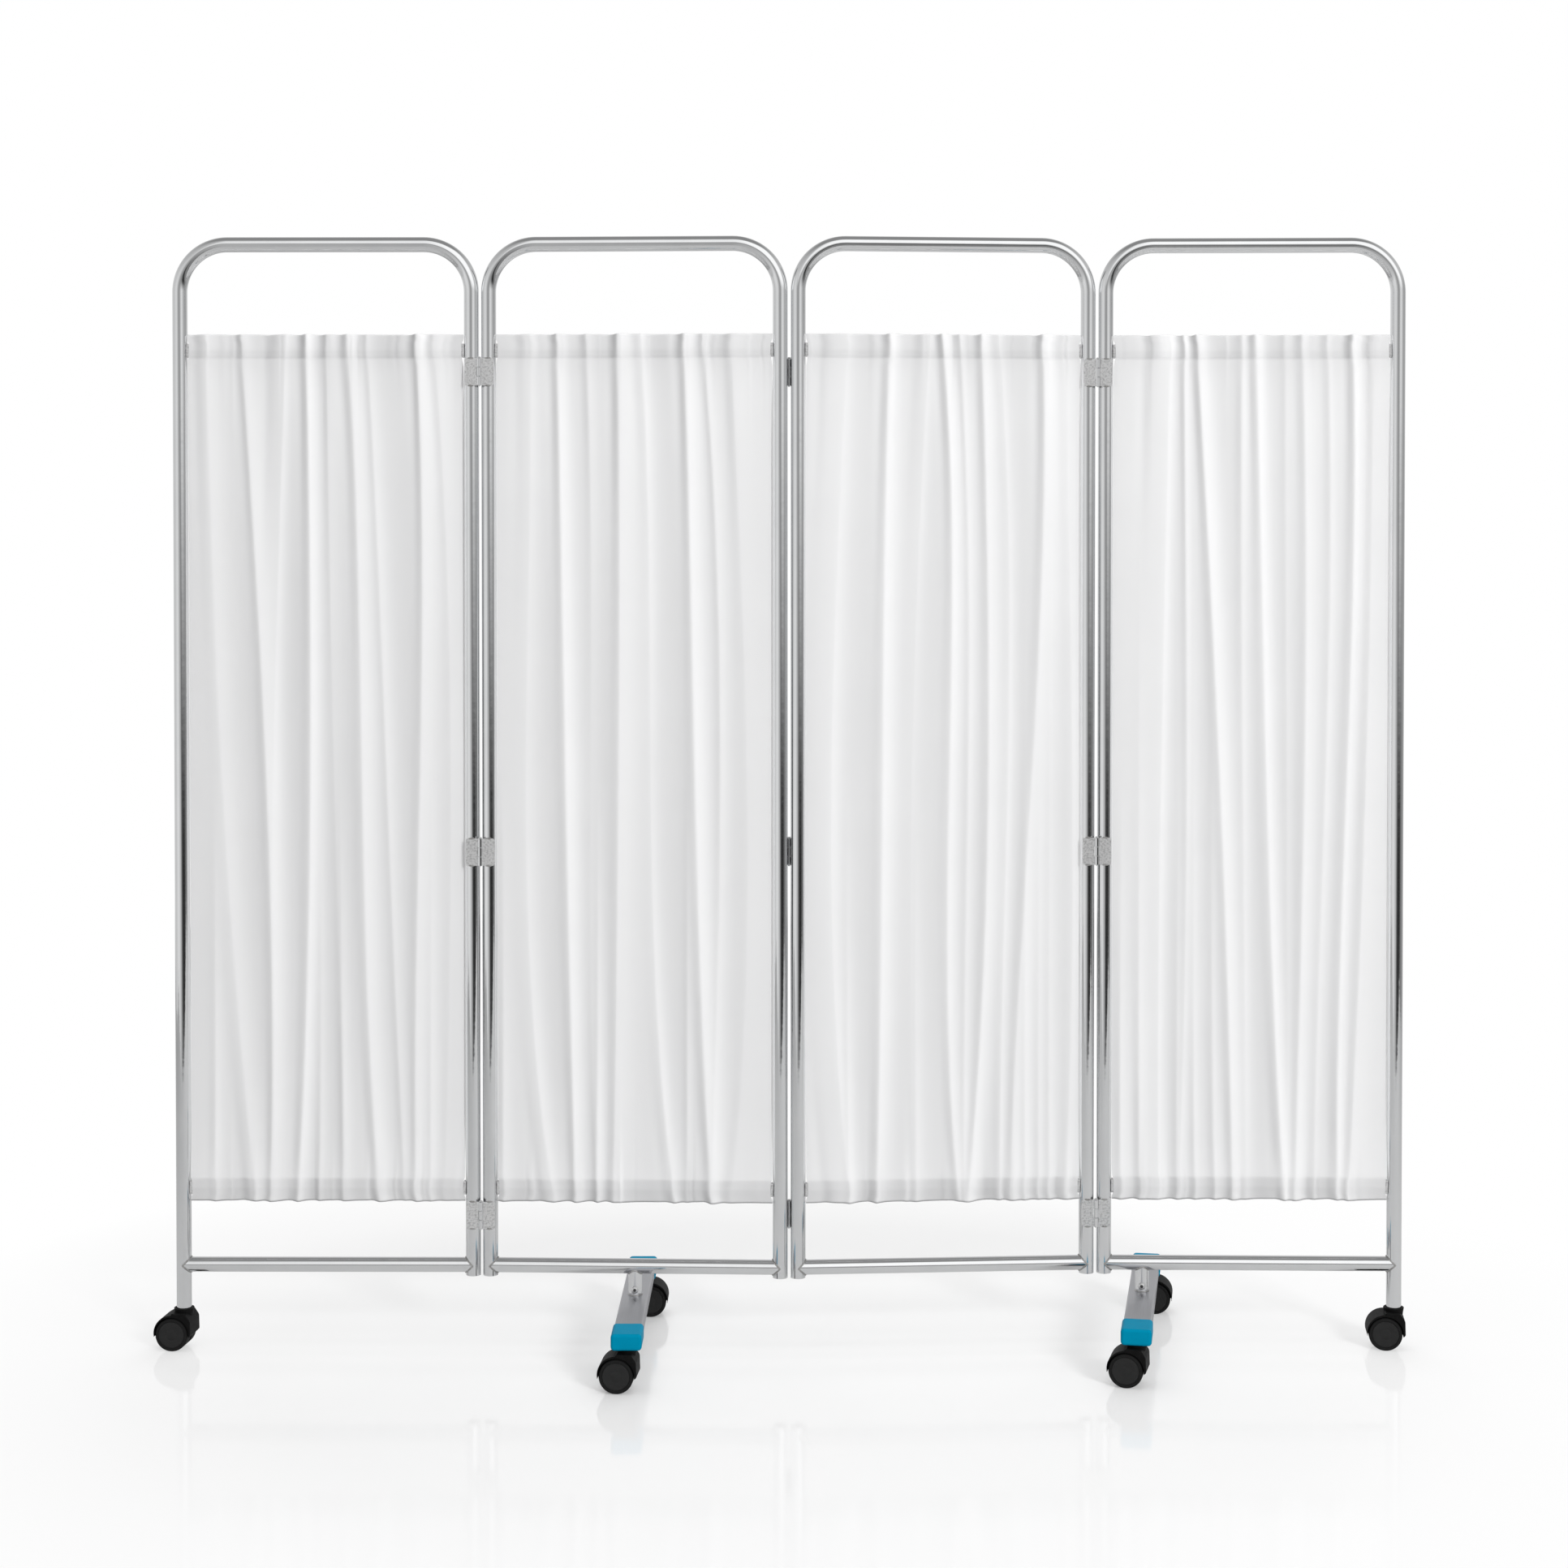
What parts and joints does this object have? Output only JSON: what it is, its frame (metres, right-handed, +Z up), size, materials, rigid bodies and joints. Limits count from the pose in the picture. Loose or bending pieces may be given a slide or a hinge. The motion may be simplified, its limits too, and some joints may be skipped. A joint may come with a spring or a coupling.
{
  "type": "ward privacy screen",
  "caption": "Folding ward screen of hinged tube frames with gathered curtains, cross feet and twin-wheel casters.",
  "frame": {"origin": "on the floor, in the middle of the space that the screen takes up as it stands", "axes": "+Z up, +X along the row of panels to the right, -Y towards the viewer in front of the screen"},
  "size_m": [1.8576, 0.4586, 1.645],
  "materials": {
    "chrome_tube": "polished",
    "zinc_steel": "dull",
    "curtain_cloth": "matte",
    "satin_bar": "satin",
    "blue_cap": "satin",
    "caster_housing": "satin",
    "caster_wheel": "matte"
  },
  "bodies": {
    "panel_2": {"frame_2": "chrome_tube", "rail_2": "chrome_tube", "curtain_2": "curtain_cloth", "rod_top_2": "chrome_tube", "rod_bottom_2": "chrome_tube", "foot_bar_2": "satin_bar", "foot_post_2": "chrome_tube", "foot_bolt_2": "zinc_steel", "foot_cap_2_front": "blue_cap", "foot_cap_2_rear": "blue_cap", "hinge_pin_23_top": "zinc_steel", "hinge_pin_23_middle": "zinc_steel", "hinge_pin_23_bottom": "zinc_steel"},
    "panel_1": {"frame_1": "chrome_tube", "rail_1": "chrome_tube", "curtain_1": "curtain_cloth", "rod_top_1": "chrome_tube", "rod_bottom_1": "chrome_tube", "hinge_pin_12_top": "zinc_steel", "hinge_pin_12_middle": "zinc_steel", "hinge_pin_12_bottom": "zinc_steel"},
    "panel_3": {"frame_3": "chrome_tube", "rail_3": "chrome_tube", "curtain_3": "curtain_cloth", "rod_top_3": "chrome_tube", "rod_bottom_3": "chrome_tube", "hinge_pin_34_top": "zinc_steel", "hinge_pin_34_middle": "zinc_steel", "hinge_pin_34_bottom": "zinc_steel"},
    "panel_4": {"frame_4": "chrome_tube", "rail_4": "chrome_tube", "curtain_4": "curtain_cloth", "rod_top_4": "chrome_tube", "rod_bottom_4": "chrome_tube", "foot_bar_4": "satin_bar", "foot_post_4": "chrome_tube", "foot_bolt_4": "zinc_steel", "foot_cap_4_front": "blue_cap", "foot_cap_4_rear": "blue_cap"},
    "caster_end_left": {"caster_end_left_housing": "caster_housing"},
    "caster_foot2_front": {"caster_foot2_front_housing": "caster_housing"},
    "caster_foot2_rear": {"caster_foot2_rear_housing": "caster_housing"},
    "caster_foot4_front": {"caster_foot4_front_housing": "caster_housing"},
    "caster_foot4_rear": {"caster_foot4_rear_housing": "caster_housing"},
    "caster_end_right": {"caster_end_right_housing": "caster_housing"},
    "caster_end_left_wheel_a": {"caster_end_left_wheel_a": "caster_wheel"},
    "caster_end_left_wheel_b": {"caster_end_left_wheel_b": "caster_wheel"},
    "caster_foot2_front_wheel_a": {"caster_foot2_front_wheel_a": "caster_wheel"},
    "caster_foot2_front_wheel_b": {"caster_foot2_front_wheel_b": "caster_wheel"},
    "caster_foot2_rear_wheel_a": {"caster_foot2_rear_wheel_a": "caster_wheel"},
    "caster_foot2_rear_wheel_b": {"caster_foot2_rear_wheel_b": "caster_wheel"},
    "caster_foot4_front_wheel_a": {"caster_foot4_front_wheel_a": "caster_wheel"},
    "caster_foot4_front_wheel_b": {"caster_foot4_front_wheel_b": "caster_wheel"},
    "caster_foot4_rear_wheel_a": {"caster_foot4_rear_wheel_a": "caster_wheel"},
    "caster_foot4_rear_wheel_b": {"caster_foot4_rear_wheel_b": "caster_wheel"},
    "caster_end_right_wheel_a": {"caster_end_right_wheel_a": "caster_wheel"},
    "caster_end_right_wheel_b": {"caster_end_right_wheel_b": "caster_wheel"}
  },
  "joints": [
    {"name": "fold_12", "type": "hinge", "parent": "panel_2", "child": "panel_1", "pos_m": [-0.44405, -0.0146, 0.8], "axis": [0, 0, 1], "range_deg": [-11.8, 173.2]},
    {"name": "fold_23", "type": "hinge", "parent": "panel_2", "child": "panel_3", "pos_m": [0.01157, -0.00609, 0.8], "axis": [0, 0, 1], "range_deg": [-16, 169]},
    {"name": "fold_34", "type": "hinge", "parent": "panel_3", "child": "panel_4", "pos_m": [0.46723, -0.00029, 0.8], "axis": [0, 0, -1], "range_deg": [-15.2, 169.8]},
    {"name": "swivel_end_left", "type": "hinge", "parent": "panel_1", "child": "caster_end_left", "pos_m": [-0.88648, 0.00031, 0.06], "axis": [0, 0, 1], "continuous": true},
    {"name": "swivel_foot2_front", "type": "hinge", "parent": "panel_2", "child": "caster_foot2_front", "pos_m": [-0.21658, -0.20535, 0.06], "axis": [0, 0, 1], "continuous": true},
    {"name": "swivel_foot2_rear", "type": "hinge", "parent": "panel_2", "child": "caster_foot2_rear", "pos_m": [-0.2159, 0.18465, 0.06], "axis": [0, 0, 1], "continuous": true},
    {"name": "swivel_foot4_front", "type": "hinge", "parent": "panel_4", "child": "caster_foot4_front", "pos_m": [0.50314, -0.18131, 0.06], "axis": [0, 0, 1], "continuous": true},
    {"name": "swivel_foot4_rear", "type": "hinge", "parent": "panel_4", "child": "caster_foot4_rear", "pos_m": [0.57086, 0.20277, 0.06], "axis": [0, 0, 1], "continuous": true},
    {"name": "swivel_end_right", "type": "hinge", "parent": "panel_4", "child": "caster_end_right", "pos_m": [0.9099, 0.00227, 0.06], "axis": [0, 0, 1], "continuous": true},
    {"name": "roll_end_left_a", "type": "hinge", "parent": "caster_end_left", "child": "caster_end_left_wheel_a", "pos_m": [-0.8998, -0.00257, 0.02452], "axis": [0.0924, 0.9957, 0], "continuous": true},
    {"name": "roll_end_left_b", "type": "hinge", "parent": "caster_end_left", "child": "caster_end_left_wheel_b", "pos_m": [-0.89904, 0.0056, 0.02452], "axis": [0.0924, 0.9957, 0], "continuous": true},
    {"name": "roll_foot2_front_a", "type": "hinge", "parent": "caster_foot2_front", "child": "caster_foot2_front_wheel_a", "pos_m": [-0.22984, -0.20851, 0.02452], "axis": [0.0715, 0.9974, 0], "continuous": true},
    {"name": "roll_foot2_front_b", "type": "hinge", "parent": "caster_foot2_front", "child": "caster_foot2_front_wheel_b", "pos_m": [-0.22925, -0.20033, 0.02452], "axis": [0.0715, 0.9974, 0], "continuous": true},
    {"name": "roll_foot2_rear_a", "type": "hinge", "parent": "caster_foot2_rear", "child": "caster_foot2_rear_wheel_a", "pos_m": [-0.20289, 0.18873, 0.02452], "axis": [-0.0017, -1, 0], "continuous": true},
    {"name": "roll_foot2_rear_b", "type": "hinge", "parent": "caster_foot2_rear", "child": "caster_foot2_rear_wheel_b", "pos_m": [-0.20291, 0.18053, 0.02452], "axis": [-0.0017, -1, 0], "continuous": true},
    {"name": "roll_foot4_front_a", "type": "hinge", "parent": "caster_foot4_front", "child": "caster_foot4_front_wheel_a", "pos_m": [0.48952, -0.1819, 0.02452], "axis": [0.2588, 0.9659, 0], "continuous": true},
    {"name": "roll_foot4_front_b", "type": "hinge", "parent": "caster_foot4_front", "child": "caster_foot4_front_wheel_b", "pos_m": [0.49164, -0.17398, 0.02452], "axis": [0.2588, 0.9659, 0], "continuous": true},
    {"name": "roll_foot4_rear_a", "type": "hinge", "parent": "caster_foot4_rear", "child": "caster_foot4_rear_wheel_a", "pos_m": [0.58437, 0.20455, 0.02452], "axis": [-0.1736, -0.9848, 0], "continuous": true},
    {"name": "roll_foot4_rear_b", "type": "hinge", "parent": "caster_foot4_rear", "child": "caster_foot4_rear_wheel_b", "pos_m": [0.58295, 0.19647, 0.02452], "axis": [-0.1736, -0.9848, 0], "continuous": true},
    {"name": "roll_end_right_a", "type": "hinge", "parent": "caster_end_right", "child": "caster_end_right_wheel_a", "pos_m": [0.89645, 0.00009, 0.02452], "axis": [0.1444, 0.9895, 0], "continuous": true},
    {"name": "roll_end_right_b", "type": "hinge", "parent": "caster_end_right", "child": "caster_end_right_wheel_b", "pos_m": [0.89763, 0.0082, 0.02452], "axis": [0.1444, 0.9895, 0], "continuous": true}
  ]
}
